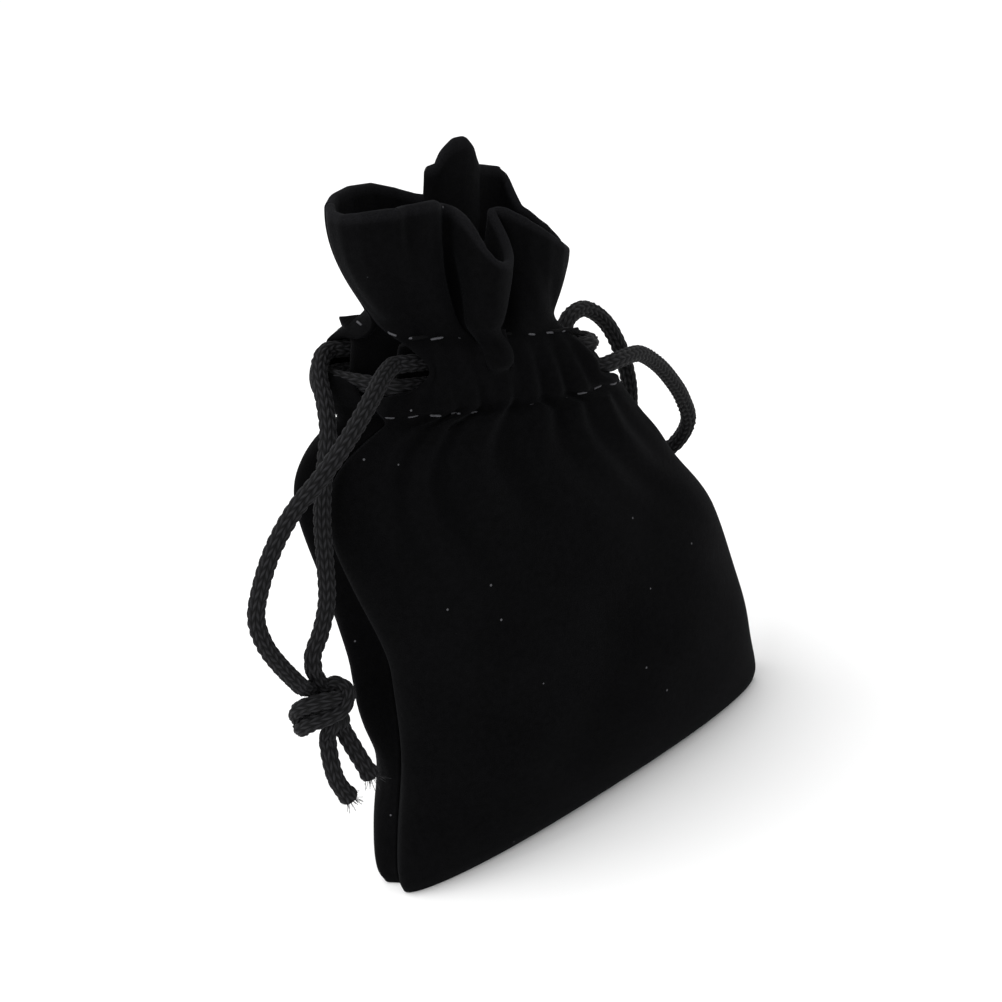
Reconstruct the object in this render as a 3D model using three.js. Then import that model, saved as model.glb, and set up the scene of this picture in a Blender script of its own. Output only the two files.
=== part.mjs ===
// Drawstring dice bag: a stuffed velvet pouch standing on its bottom seam, with two cords that
// run through a channel below the frill and hang out as one knotted loop at each side.
// Millimetres, +Z up, the front panel towards -Y, the rest face at z = 0.
import * as THREE from 'three';
import { mergeVertices } from 'three/addons/utils/BufferGeometryUtils.js';

// ---- Driving dimensions -------------------------------------------------------------------
const POUCH_WIDTH = 90; // flat width across the bottom edge
const BODY_HEIGHT = 79.5; // rest face to the lower row of stitches
const BODY_DEPTH = 33; // front to back across the belly
const BASE_DEPTH = 18.2; // front to back of the footprint
const BASE_TUCK = 0.7; // each end of the footprint lies this far inside the flat width
const CLOTH = 1.6; // velvet with its lining
const CORD = 3; // diameter of the knitted cord
const THREAD = 0.7; // diameter of the sewing thread
const GAP = 0.3; // clearance between sewn pieces
const WELD = 1e-4; // vertices nearer to each other than this are one

const CORD_SPACE = 1; // between the two cords, which lie one above the other in a channel
const CHANNEL_SEAM = 1.2; // cloth taken up by each row of stitches
const CHANNEL_ROOM = 1.1; // spare height above and below the cords
const CHANNEL_PLAY = 1.8; // spare depth round a cord
const CHANNEL_WALL = 0.8; // one ply of cloth
const CHANNEL_HEIGHT = 2 * CORD + CORD_SPACE + 2 * (CHANNEL_SEAM + CHANNEL_ROOM);
const CHANNEL_DEPTH = CORD + CHANNEL_PLAY;
const CASING_BULGE = 0.7; // the cords fill the channel out
const CASING_SPREAD = 0.5; // outer face further out at the lower stitches
const NECK_DEPTH = 7.2; // neck axis to the middle of the channel
const NECK_BOW = 1.2; // how much nearer the channel comes to the axis at its ends
const NECK_HALF = 16; // half length of a channel at the upper stitches
const NECK_FLARE = 3; // extra half length at the lower stitches
const NECK_SHIFT = 2.5; // front channel to the right, back channel to the left
const NECK_CENTRE = new THREE.Vector3(-3, -1, BODY_HEIGHT + CHANNEL_HEIGHT / 2);
const SHOULDER = 2.8; // the body is this much wider than the channel's lower edge
const NECK_TILT = THREE.MathUtils.degToRad(16); // right end lower
const NECK_TWIST = THREE.MathUtils.degToRad(-8); // right end towards the front
const STITCH_SLANT = 0.04; // the two rows of stitches close up to the right

const FRILL_HEIGHT = 17; // upper stitches to the rim
const FRILL_HALF = 22.5; // half width of the rim
const FRILL_DEPTH = 12.2; // neck axis to the rim
const FRILL_SLANT = 0.19; // the rim falls to the right
const FRILL_LEAN = 1.6; // the rim stands to the left of the neck
const FRILL_BACK_RISE = 5; // the back rim stands higher in the middle
const PLEATS = 4; // waves across one half of the frill
const PLEAT_DEPTH = 2.2;
const PLEAT_AT_FOOT = 0.25; // share of a pleat's depth that is left at the stitches

const CORD_LEVEL = (CORD + CORD_SPACE) / 2; // each cord's height from the channel's middle
const STRAND_DEPTH = NECK_DEPTH - NECK_BOW / 2; // neck axis to a strand in its channel
const PULL_TRAVEL = 12; // length of strand that is held straight in the channel
const SWING_GAP = 0.6; // clearance where a loop turns at the channel's mouth
const KNOT_RADIUS = CORD + 0.1;
const KNOT_SQUEEZE = 0.1; // the cord in a knot is this much thinner to each side
const SEAM_ALLOWANCE = 5; // turned-in edges inside the bag
const ALLOWANCE_FROM = 0.16; // share of the body's height at which a side allowance starts
const ALLOWANCE_TO = 0.8; // and at which it ends
const CORNER_ROOM = 3; // between the bottom allowance and a side one

// Levels of the body. Each has its share of the height, a sideways shift as a share of the half
// width, how far the width has closed from footprint to neck, how far the front has filled out
// from footprint to belly, and how far it has closed again from belly to neck.
const BODY_LEVELS = [
  { height: 0, shift: 0, narrowing: 0, filling: 0, closing: 0 },
  { height: 0.04, shift: 0, narrowing: 0, filling: 0.38, closing: 0 },
  { height: 0.13, shift: 0.01, narrowing: 0.07, filling: 0.76, closing: 0 },
  { height: 0.3, shift: 0.045, narrowing: 0.2, filling: 1, closing: 0 },
  { height: 0.5, shift: 0.045, narrowing: 0.3, filling: 1, closing: 0 },
  { height: 0.68, shift: 0.01, narrowing: 0.42, filling: 1, closing: 0.18 },
  { height: 0.82, shift: -0.02, narrowing: 0.55, filling: 1, closing: 0.45 },
  { height: 0.92, shift: -0.02, narrowing: 0.75, filling: 1, closing: 0.75 },
  { height: 1, shift: 0.035, narrowing: 1, filling: 1, closing: 1 },
];
const BODY_ROWS = 15;
const BODY_COLUMNS = 26;
const SECTION_POWER = 2.5; // 2 is an oval, more is squarer
const SEAM_GROOVE = 3; // how deep the side seams pull in
const GROOVE_WIDTH = 2.6;
const LEAN_FROM = 0.5; // share of the body's height above which it follows the leaning neck

// Spacing of the rings that make up a tube.
const CORD_RINGS = 4.5;
const RUN_RINGS = 4;
const TAIL_RINGS = 3.5;
const THREAD_RINGS = 3.5;

// A cord run inside the gathered neck: it starts INNER_PLAY before the inlet's end, lies
// MIDDLE_SINK nearer the axis in the middle, straightens MOUTH_STRAIGHT before the other mouth and
// bends towards the axis behind it.
const INNER_PLAY = 1.2 * GAP;
const MIDDLE_SHARE = 0.4;
const MIDDLE_SINK = 0.2;
const MOUTH_STRAIGHT = 3;
const BEND_START = { reach: 1.2, sink: 0.3 };
const BEND_END = { reach: CORD, sink: 2.4 };
const CROSSING = 1.2 * CORD; // the run crosses this far outside the channels' mouths

// Stitch rows.
const STITCH_POINTS = 8;
const STITCH_REACH = 0.97; // share of the casing's half length

// Free routes of the four strands and four tails, in millimetres, from the knot's side outwards.
const STRAND_ROUTES = {
  left_cord_front_strand: [
    [-24.8, -7.4, 92.4], [-30.8, -11, 91], [-37.4, -12.6, 87.6], [-43.5, -12, 83.5], [-48.5, -10, 79.5],
    [-53, -9, 75], [-56.5, -8, 69.5], [-58.5, -7, 64], [-58.1, -6.6, 59], [-56.4, -6.2, 54.4],
    [-53.2, -5.8, 48.1],
  ],
  left_cord_back_strand: [
    [-25.8, 7.9, 93.6], [-29.2, 5, 92], [-31.4, 1.6, 89], [-33.6, -1, 85.2], [-36.2, -2.4, 81.2],
    [-38.6, -3, 76.6], [-40.4, -3.4, 71.6], [-42, -4, 65.6], [-43.9, -4.6, 59.4], [-46.6, -4.9, 55],
    [-49.2, -5, 51.9], [-49.9, -5.1, 49.3],
  ],
  right_cord_front_strand: [
    [20.4, -9.6, 76.6], [28, -6, 74], [35, -1.6, 68.5], [41, 2.5, 61.8], [46, 6.5, 55],
    [49.6, 10.6, 47.8], [49.4, 15, 42.6], [46.6, 18.4, 39.8],
  ],
  right_cord_back_strand: [
    [17.2, 3, 78.1], [24, 6, 80.6], [29.6, 8.4, 79.4], [34.4, 10, 74.8], [37.4, 11, 68],
    [39, 12.4, 60], [40, 15.4, 52], [41.2, 18.4, 45.4], [42.3, 19.6, 42.8],
  ],
};
const TAIL_ROUTES = {
  left_cord_front_tail: [[-51.2, -6, 37.2], [-52.2, -7, 33.6], [-52, -7, 29.5], [-50.6, -7, 25.6]],
  left_cord_back_tail: [[-48, -5.6, 38.1], [-47.6, -6.6, 35], [-47.2, -7.8, 31.8], [-46.4, -8.4, 28.2]],
  right_cord_front_tail: [[45, 18, 30.1], [46, 18.4, 26.4], [46.4, 18.6, 22.2], [46, 18.4, 18.6]],
  right_cord_back_tail: [[42.4, 19.6, 30.4], [41.6, 20.6, 26.6], [40.6, 21.4, 22.8], [39, 21.6, 19.4]],
};
const KNOT_RINGS = 56;
const KNOT_SIDES = 8;
const KNOT_TURNS = 2; // round the knot's own axis
const KNOT_LOBES = 3;
const KNOT_CENTRES = {
  left_knot: [-50.2, -5.4, 43.2],
  right_knot: [43.6, 18.8, 36],
};

// ---- Materials ----------------------------------------------------------------------------
const MATERIALS = {
  velvet: { color: 0x0b0b0d, roughness: 0.92, metalness: 0 },
  thread: { color: 0x5a5a60, roughness: 0.7, metalness: 0 },
  cord: { color: 0x26262a, roughness: 0.75, metalness: 0 },
};

const bag = new THREE.Group();
bag.name = 'drawstring_dice_bag';

function add(name, geometry, slot) {
  const mesh = new THREE.Mesh(geometry, new THREE.MeshStandardMaterial(MATERIALS[slot]));
  mesh.name = name;
  bag.add(mesh);
}

// ---- Shapes -------------------------------------------------------------------------------
const neck = new THREE.Matrix4()
  .makeTranslation(NECK_CENTRE)
  .multiply(new THREE.Matrix4().makeRotationZ(NECK_TWIST))
  .multiply(new THREE.Matrix4().makeRotationY(NECK_TILT));

function atNeck(x, y, z) {
  return new THREE.Vector3(x, y, z).applyMatrix4(neck);
}

function mix(from, to, share) {
  return from + (to - from) * share;
}

// A closed solid from triangles of points, facing outwards.
function solid(triangles) {
  const volume = triangles.reduce((sum, [a, b, c]) => sum + a.dot(b.clone().cross(c)), 0);
  const positions = triangles.flatMap(([a, b, c]) => {
    const corners = volume > 0 ? [a, b, c] : [a, c, b];
    return corners.flatMap((point) => point.toArray());
  });
  const geometry = new THREE.BufferGeometry();
  geometry.setAttribute('position', new THREE.Float32BufferAttribute(positions, 3));
  return mergeVertices(geometry, WELD);
}

function quad(a, b, c, d) {
  return [[a, b, c], [a, c, d]];
}

// Faces of a grid of points given as rows.
function gridFaces(rows) {
  const faces = [];
  for (let j = 0; j + 1 < rows.length; j += 1) {
    for (let i = 0; i + 1 < rows[j].length; i += 1) {
      faces.push(...quad(rows[j][i], rows[j][i + 1], rows[j + 1][i + 1], rows[j + 1][i]));
    }
  }
  return faces;
}

// A sheet with thickness: an outer and an inner grid joined around their border.
function shell(outer, inner) {
  const last = outer.length - 1;
  const left = [outer.map((row) => row[0]), inner.map((row) => row[0])];
  const right = [inner.map((row) => row.at(-1)), outer.map((row) => row.at(-1))];
  return solid([
    ...gridFaces(outer),
    ...gridFaces([...inner].map((row) => [...row].reverse())),
    ...gridFaces([inner[0], outer[0]]),
    ...gridFaces([outer[last], inner[last]]),
    ...gridFaces(left),
    ...gridFaces(right),
  ]);
}

// A band with an open tunnel along it: closed outer and inner rings joined at both ends.
function tunnel(outerRings, innerRings) {
  const closed = (rings) => rings.map((ring) => [...ring, ring[0]]);
  const outer = closed(outerRings);
  const inner = closed(innerRings);
  return solid([
    ...gridFaces(outer),
    ...gridFaces(inner.map((ring) => [...ring].reverse())),
    ...gridFaces([inner[0], outer[0]]),
    ...gridFaces([outer.at(-1), inner.at(-1)]),
  ]);
}

// A round cord or thread along a smooth curve through its points.
function cordGeometry(points, diameter, spacing) {
  const path = new THREE.CatmullRomCurve3(points, false, 'centripetal');
  const round = new THREE.Shape();
  round.absarc(0, 0, diameter / 2, 0, Math.PI * 2);
  const steps = Math.max(2, Math.round(path.getLength() / spacing));
  const settings = { steps, curveSegments: 4, bevelEnabled: false, extrudePath: path };
  const tube = new THREE.ExtrudeGeometry(round, settings);
  tube.deleteAttribute('normal');
  tube.deleteAttribute('uv');
  return mergeVertices(tube, WELD);
}

// One quarter of a squarish oval, with its sign kept.
function rounded(value) {
  return Math.sign(value) * Math.abs(value) ** (2 / SECTION_POWER);
}

// ---- Body: front and back panels meeting at the side and bottom seams ----------------------
function levelCurve(key) {
  return new THREE.SplineCurve(BODY_LEVELS.map((level) => new THREE.Vector2(level.height, level[key])));
}

const CURVES = {
  shift: levelCurve('shift'),
  narrowing: levelCurve('narrowing'),
  filling: levelCurve('filling'),
  closing: levelCurve('closing'),
};

function bodyLevel(share) {
  const at = (key) => CURVES[key].getPoint(share).y;
  const footHalf = POUCH_WIDTH / 2 - BASE_TUCK;
  const neckHalf = NECK_HALF + NECK_FLARE + SHOULDER;
  const neckDepth = NECK_DEPTH + CHANNEL_DEPTH / 2 + CHANNEL_WALL + 2 * CASING_SPREAD + CASING_BULGE;
  const filled = mix(BASE_DEPTH / 2, BODY_DEPTH / 2, at('filling'));
  return {
    z: CURVES.shift.getPoint(share).x * BODY_HEIGHT,
    shift: (at('shift') * POUCH_WIDTH) / 2,
    halfWidth: mix(footHalf, neckHalf, at('narrowing')),
    depth: mix(filled, neckDepth, at('closing')),
  };
}

// The upper part of the body follows the tilted and twisted neck.
function lean(x, y, z) {
  const share = THREE.MathUtils.smoothstep(z, BODY_HEIGHT * LEAN_FROM, BODY_HEIGHT);
  const level = z - BODY_HEIGHT - CHANNEL_HEIGHT / 2 - 2 * GAP - THREAD + STITCH_SLANT * x;
  return new THREE.Vector3(x, y, z).lerp(atNeck(x, y, level), share);
}

function bodyPoint(share, angle, side, inset) {
  const level = bodyLevel(share);
  const sweep = rounded(Math.sin(angle));
  const y = side * (GAP / 2 + (level.depth - inset - GAP / 2) * sweep);
  const groove = SEAM_GROOVE * Math.exp(-((y / GROOVE_WIDTH) ** 2));
  const x = level.shift - (level.halfWidth - inset - groove) * rounded(Math.cos(angle));
  const z = mix(inset, BODY_HEIGHT, level.z / BODY_HEIGHT);
  return { x, y, z };
}

function bodyRows(side, inset) {
  const angles = Array.from({ length: BODY_COLUMNS + 1 }, (_, i) => (Math.PI * i) / BODY_COLUMNS);
  const seamEnd = bodyPoint(0, Math.PI, side, inset).x;
  const base = [0, 0.5].map((share) => angles.map((angle) => {
    const edge = bodyPoint(0, angle, side, inset);
    const seam = -seamEnd * Math.cos(angle);
    return new THREE.Vector3(mix(seam, edge.x, share), mix((side * GAP) / 2, edge.y, share), edge.z);
  }));
  const wall = Array.from({ length: BODY_ROWS + 1 }, (_, j) => angles.map((angle) => {
    const point = bodyPoint(j / BODY_ROWS, angle, side, inset);
    return lean(point.x, point.y, point.z);
  }));
  return [...base, ...wall];
}

function addBody() {
  add('front_panel', shell(bodyRows(-1, 0), bodyRows(-1, CLOTH)), 'velvet');
  add('back_panel', shell(bodyRows(1, 0), bodyRows(1, CLOTH)), 'velvet');
}

// ---- Seam allowances: the turned-in edges inside the side and bottom seams -----------------
const ALLOWANCE_ROWS = 12;

function sideAllowance(end) {
  const angle = end < 0 ? 0 : Math.PI;
  const rows = [0, SEAM_ALLOWANCE].map((reach) => (half) => Array.from(
    { length: ALLOWANCE_ROWS + 1 },
    (_, j) => {
      const share = mix(ALLOWANCE_FROM, ALLOWANCE_TO, j / ALLOWANCE_ROWS);
      const edge = bodyPoint(share, angle, -1, CLOTH);
      return lean(edge.x - end * (2 * GAP + reach), (half * CLOTH) / 2, edge.z);
    },
  ));
  const front = rows.map((row) => row(-1));
  const back = rows.map((row) => row(1));
  return shell(front, back);
}

function bottomAllowance() {
  const reach = bodyPoint(0, Math.PI, -1, CLOTH).x - SEAM_ALLOWANCE - CORNER_ROOM;
  const strip = new THREE.BoxGeometry(2 * reach, CLOTH, SEAM_ALLOWANCE);
  strip.translate(0, 0, CLOTH + GAP + SEAM_ALLOWANCE / 2);
  strip.deleteAttribute('normal');
  strip.deleteAttribute('uv');
  return mergeVertices(strip, WELD);
}

function addAllowances() {
  add('left_seam_allowance', sideAllowance(-1), 'velvet');
  add('right_seam_allowance', sideAllowance(1), 'velvet');
  add('bottom_seam_allowance', bottomAllowance(), 'velvet');
}

// ---- Casings: the front and back cord channels, open at the side seams ---------------------
const CASING_COLUMNS = 16;
const CASING_ROWS = 5;

function channelDepth(along) {
  return NECK_DEPTH - NECK_BOW * along * along;
}

// A point of a casing: along -1..1, level -1..1 and depth measured outwards from the neck axis.
function casingPoint(side, along, level, depth) {
  const half = NECK_HALF + (NECK_FLARE * (1 - level)) / 2;
  const x = -side * NECK_SHIFT + half * along - (NECK_SHIFT * (1 + level)) / 2;
  const z = level * (CHANNEL_HEIGHT / 2 - STITCH_SLANT * x);
  return atNeck(x, side * depth, z);
}

function casingRing(side, along, outer) {
  const middle = channelDepth(along);
  const wall = outer ? CHANNEL_WALL : 0;
  const reach = outer ? 1 : 1 - (2 * CHANNEL_SEAM) / CHANNEL_HEIGHT;
  const levels = Array.from({ length: CASING_ROWS + 1 }, (_, k) => reach * mix(-1, 1, k / CASING_ROWS));
  const bulge = (level) => (outer ? CASING_BULGE * (1 - level * level) + CASING_SPREAD * (1 - level) : 0);
  const face = levels.map((level) => casingPoint(
    side, along, level, middle + CHANNEL_DEPTH / 2 + wall + bulge(level),
  ));
  const back = levels.map((level) => casingPoint(side, along, level, middle - CHANNEL_DEPTH / 2 - wall));
  return [...face, ...back.reverse()];
}

function casing(side) {
  const steps = Array.from({ length: CASING_COLUMNS + 1 }, (_, i) => mix(-1, 1, i / CASING_COLUMNS));
  const outer = steps.map((along) => casingRing(side, along, true));
  const inner = steps.map((along) => casingRing(side, along, false));
  return tunnel(outer, inner);
}

// A row of stitches: one thread along the outer edge of a casing.
function stitchRow(side, level) {
  const lift = level * (GAP + THREAD / 2);
  const points = Array.from({ length: STITCH_POINTS + 1 }, (_, i) => {
    const along = mix(-STITCH_REACH, STITCH_REACH, i / STITCH_POINTS);
    const depth = channelDepth(along) + CHANNEL_DEPTH / 2 + CASING_SPREAD * (1 - level);
    const spot = casingPoint(side, along, level, depth);
    return spot.add(atNeck(0, 0, lift).sub(NECK_CENTRE));
  });
  return cordGeometry(points, THREAD, THREAD_RINGS);
}

function addCasings() {
  for (const [half, side] of [['front', -1], ['back', 1]]) {
    add(`${half}_casing`, casing(side), 'velvet');
    add(`${half}_upper_stitches`, stitchRow(side, 1), 'thread');
    add(`${half}_lower_stitches`, stitchRow(side, -1), 'thread');
  }
}

// ---- Frill: the pleated mouth above the upper stitches --------------------------------------
const FRILL_COLUMNS = 36;
const FRILL_ROWS = 6;

function frillPoint(side, angle, rise, inset) {
  const wave = Math.cos(angle * 2 * PLEATS) * Math.sin(angle) ** 2;
  const pleat = PLEAT_DEPTH * mix(PLEAT_AT_FOOT, 1, rise) * wave;
  const half = mix(NECK_HALF, FRILL_HALF, rise) - inset;
  const depth = mix(NECK_DEPTH + CHANNEL_DEPTH / 2, FRILL_DEPTH, rise) - inset + pleat;
  const across = -half * rounded(Math.cos(angle));
  const x = across - mix(NECK_SHIFT, NECK_SHIFT + FRILL_LEAN, rise);
  const y = side * (GAP / 2 + (depth - GAP / 2) * rounded(Math.sin(angle)));
  const foot = CHANNEL_HEIGHT / 2 + 2 * GAP + THREAD - STITCH_SLANT * x;
  const crest = side > 0 ? FRILL_BACK_RISE * Math.sin(angle) ** 4 : wave;
  const rim = CHANNEL_HEIGHT / 2 + FRILL_HEIGHT + crest - FRILL_SLANT * across;
  return atNeck(x, y, mix(foot, rim, rise));
}

function frillRows(side, inset) {
  const angles = Array.from({ length: FRILL_COLUMNS + 1 }, (_, i) => (Math.PI * i) / FRILL_COLUMNS);
  const rises = Array.from({ length: FRILL_ROWS + 1 }, (_, j) => j / FRILL_ROWS);
  return rises.map((rise) => angles.map((angle) => frillPoint(side, angle, rise, inset)));
}

function addFrills() {
  add('front_frill', shell(frillRows(-1, 0), frillRows(-1, CLOTH)), 'velvet');
  add('back_frill', shell(frillRows(1, 0), frillRows(1, CLOTH)), 'velvet');
}

// ---- Cords: each runs through both channels and leaves at one side ---------------------------
// Where a channel ends, measured along the neck, at the level of a cord.
function channelEnd(side, end, height) {
  const level = (2 * height) / CHANNEL_HEIGHT;
  const half = NECK_HALF + (NECK_FLARE * (1 - level)) / 2;
  return -side * NECK_SHIFT + end * half - (NECK_SHIFT * (1 + level)) / 2;
}

// The part of a cord that stays in the channels and crosses the gap at the other side.
function cordRun(end) {
  const height = -end * CORD_LEVEL;
  const half = (side) => {
    const inner = channelEnd(side, end, height) - end * (PULL_TRAVEL + INNER_PLAY);
    const mouth = channelEnd(side, -end, height);
    return [
      [inner, STRAND_DEPTH],
      [mix(inner, mouth, MIDDLE_SHARE), NECK_DEPTH - MIDDLE_SINK],
      [mouth + end * MOUTH_STRAIGHT, STRAND_DEPTH],
      [mouth - end * BEND_START.reach, STRAND_DEPTH - BEND_START.sink],
      [mouth - end * BEND_END.reach, STRAND_DEPTH - BEND_END.sink],
    ].map(([x, depth]) => atNeck(x, side * depth, height));
  };
  const mouths = channelEnd(-1, -end, height) + channelEnd(1, -end, height);
  const middle = mouths / 2 - end * CROSSING;
  return cordGeometry([...half(-1), atNeck(middle, 0, height), ...half(1).reverse()], CORD, RUN_RINGS);
}

// The straight end of a strand, which slides in and out of its channel.
function inlet(end, side) {
  const height = -end * CORD_LEVEL;
  const mouth = channelEnd(side, end, height);
  const points = [PULL_TRAVEL, PULL_TRAVEL / 2, 0].map(
    (depth) => atNeck(mouth - end * depth, side * STRAND_DEPTH, height),
  );
  return cordGeometry(points, CORD, CORD_RINGS);
}

// A free strand: it turns at its channel's mouth and follows its route to the knot.
function strand(name, end, side) {
  const height = -end * CORD_LEVEL;
  const mouth = channelEnd(side, end, height);
  const start = [SWING_GAP, SWING_GAP + CORD / 2].map(
    (reach) => atNeck(mouth + end * reach, side * STRAND_DEPTH, height),
  );
  const free = STRAND_ROUTES[name].map((point) => new THREE.Vector3(...point));
  return cordGeometry([...start, ...free], CORD, CORD_RINGS);
}

function knot(name, turn) {
  const loops = new THREE.TorusKnotGeometry(
    KNOT_RADIUS, CORD / 2 - KNOT_SQUEEZE, KNOT_RINGS, KNOT_SIDES, KNOT_TURNS, KNOT_LOBES,
  );
  loops.deleteAttribute('normal');
  loops.deleteAttribute('uv');
  loops.rotateX(Math.PI / 2);
  loops.rotateZ(turn);
  loops.translate(...KNOT_CENTRES[name]);
  return mergeVertices(loops, WELD);
}

function addCords() {
  for (const [hand, end] of [['left', -1], ['right', 1]]) {
    add(`${hand}_cord_run`, cordRun(end), 'cord');
    for (const [half, side] of [['front', -1], ['back', 1]]) {
      add(`${hand}_cord_${half}_inlet`, inlet(end, side), 'cord');
      const name = `${hand}_cord_${half}_strand`;
      add(name, strand(name, end, side), 'cord');
      const tail = TAIL_ROUTES[`${hand}_cord_${half}_tail`].map((point) => new THREE.Vector3(...point));
      add(`${hand}_cord_${half}_tail`, cordGeometry(tail, CORD, TAIL_RINGS), 'cord');
    }
    add(`${hand}_knot`, knot(`${hand}_knot`, end), 'cord');
  }
}

addBody();
addAllowances();
addCasings();
addFrills();
addCords();

export default bag;
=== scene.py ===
"""The looks of a velvet drawstring dice bag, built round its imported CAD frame.

Every piece is made in millimetres in the frame's own axes and stored in metres.
"""

import math
import random

import bmesh
import bpy
import numpy as np
from mathutils import Matrix, Vector


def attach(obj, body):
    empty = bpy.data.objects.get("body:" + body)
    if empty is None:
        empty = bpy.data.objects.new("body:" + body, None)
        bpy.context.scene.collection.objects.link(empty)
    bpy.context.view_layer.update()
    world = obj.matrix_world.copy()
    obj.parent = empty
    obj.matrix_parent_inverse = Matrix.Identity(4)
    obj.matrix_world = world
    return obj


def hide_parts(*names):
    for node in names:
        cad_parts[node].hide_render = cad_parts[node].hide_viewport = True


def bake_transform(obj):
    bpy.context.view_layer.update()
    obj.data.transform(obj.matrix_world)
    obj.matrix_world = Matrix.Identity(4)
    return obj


bl_info = {
    "name": "Velvet drawstring dice bag",
    "version": (1, 0, 0),
    "blender": (4, 5, 0),
    "location": "3D Viewport > Sidebar > Dice bag",
    "description": "Velvet, knitted cords, stitches and a studio for a drawstring dice bag",
    "category": "Object",
}

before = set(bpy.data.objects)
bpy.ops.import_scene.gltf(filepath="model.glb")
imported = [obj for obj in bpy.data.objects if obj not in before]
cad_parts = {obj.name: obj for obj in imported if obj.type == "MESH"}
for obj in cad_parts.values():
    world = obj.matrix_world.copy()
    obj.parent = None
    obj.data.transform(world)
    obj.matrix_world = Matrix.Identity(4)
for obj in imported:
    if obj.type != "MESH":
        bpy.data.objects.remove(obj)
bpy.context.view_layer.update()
MM = 0.001

# ---- The bag's own sizes, in millimetres ----------------------------------------------------
WIDTH = 90.0
HEIGHT = 79.5
BELLY_DEPTH = 33.0
FOOT_DEPTH = 18.2
CORD = 3.0
CHANNEL_HEIGHT = 11.6
CHANNEL_DEPTH = 4.8
NECK_DEPTH = 7.2
NECK_HALF = 16.0
NECK_FLARE = 3.0
NECK_SHIFT = 2.5
STITCH_SLANT = 0.04
SEAM_GROOVE = 3.0
FRILL_FOOT = CHANNEL_HEIGHT / 2 + 1.3
CORD_LEVEL = 2.0
STRAND_DEPTH = 6.6
PULL_TRAVEL = 12.0
NECK_CENTRE = np.array([-3.0, -1.0, 85.3])
NECK_AXES = np.array([
    [0.951907, -0.133782, -0.275637],
    [0.139173, 0.990268, 0.0],
    [0.272955, -0.038361, 0.961262],
])

# Height, shift, narrowing, filling and closing of the body from its foot to the casing.
BODY_LEVELS = np.array([
    [0, 0, 0, 0, 0],
    [0.04, 0, 0, 0.38, 0],
    [0.13, 0.01, 0.07, 0.76, 0],
    [0.3, 0.045, 0.2, 1, 0],
    [0.5, 0.045, 0.3, 1, 0],
    [0.68, 0.01, 0.42, 1, 0.18],
    [0.82, -0.02, 0.55, 1, 0.45],
    [0.92, -0.02, 0.75, 1, 0.75],
    [1, 0.035, 1, 1, 1],
])

STRAND_ROUTES = {
    "left_front": [
        (-24.8, -7.4, 92.4), (-30.8, -11, 91), (-37.4, -12.6, 87.6), (-43.5, -12, 83.5),
        (-48.5, -10, 79.5), (-53, -9, 75), (-56.5, -8, 69.5), (-58.5, -7, 64), (-58.1, -6.6, 59),
        (-56.4, -6.2, 54.4), (-53.2, -5.8, 48.1),
    ],
    "left_back": [
        (-25.8, 7.9, 93.6), (-29.2, 5, 92), (-31.4, 1.6, 89), (-33.6, -1, 85.2),
        (-36.2, -2.4, 81.2), (-38.6, -3, 76.6), (-40.4, -3.4, 71.6), (-42, -4, 65.6),
        (-43.9, -4.6, 59.4), (-46.6, -4.9, 55), (-49.2, -5, 51.9), (-49.9, -5.1, 49.3),
    ],
    "right_front": [
        (20.4, -9.6, 76.6), (28, -6, 74), (35, -1.6, 68.5), (41, 2.5, 61.8), (46, 6.5, 55),
        (49.6, 10.6, 47.8), (49.4, 15, 42.6), (46.6, 18.4, 39.8),
    ],
    "right_back": [
        (17.2, 3, 78.1), (24, 6, 80.6), (29.6, 8.4, 79.4), (34.4, 10, 74.8), (37.4, 11, 68),
        (39, 12.4, 60), (40, 15.4, 52), (41.2, 18.4, 45.4), (42.3, 19.6, 42.8),
    ],
}
TAIL_ROUTES = {
    "left_front": [(-51.2, -6, 37.2), (-52.2, -7, 33.6), (-52, -7, 29.5), (-50.6, -7, 25.6)],
    "left_back": [(-48, -5.6, 38.1), (-47.6, -6.6, 35), (-47.2, -7.8, 31.8), (-46.4, -8.4, 28.2)],
    "right_front": [(45, 18, 30.1), (46, 18.4, 26.4), (46.4, 18.6, 22.2), (46, 18.4, 18.6)],
    "right_back": [(42.4, 19.6, 30.4), (41.6, 20.6, 26.6), (40.6, 21.4, 22.8), (39, 21.6, 19.4)],
}
KNOT_CENTRES = {"left": (-50.2, -5.4, 43.2), "right": (43.6, 18.8, 36)}
# The two strands' ways through a knot: outwards, backwards and upwards from its centre.
KNOT_WRAPS = {
    "front": [
        (-0.6, 1.2, 2.4), (1.2, 1.6, 0.2), (3.3, 0.2, 0.2), (2.2, -2.4, 1.6), (-0.6, -3, 2),
        (-3.6, -1.6, 0.8), (-4.4, 0.2, -1.6), (-2.8, 1.6, -2.2), (-0.2, 0.6, -1.4), (1.2, -0.8, -2.6),
    ],
    "back": [
        (1.2, 1, 2.6), (3.2, 0.8, 2.6), (4.6, -0.4, 1.4), (3.4, -2.6, -0.2), (0.6, -3.3, -0.9),
        (-2.2, -2.9, -1.6), (-4.2, -1.2, -3), (-3.6, 1.4, -3.2), (-0.8, 1.8, -2.4), (1.8, 0.6, -1.8),
        (2.6, 0, -3.4),
    ],
}

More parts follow.
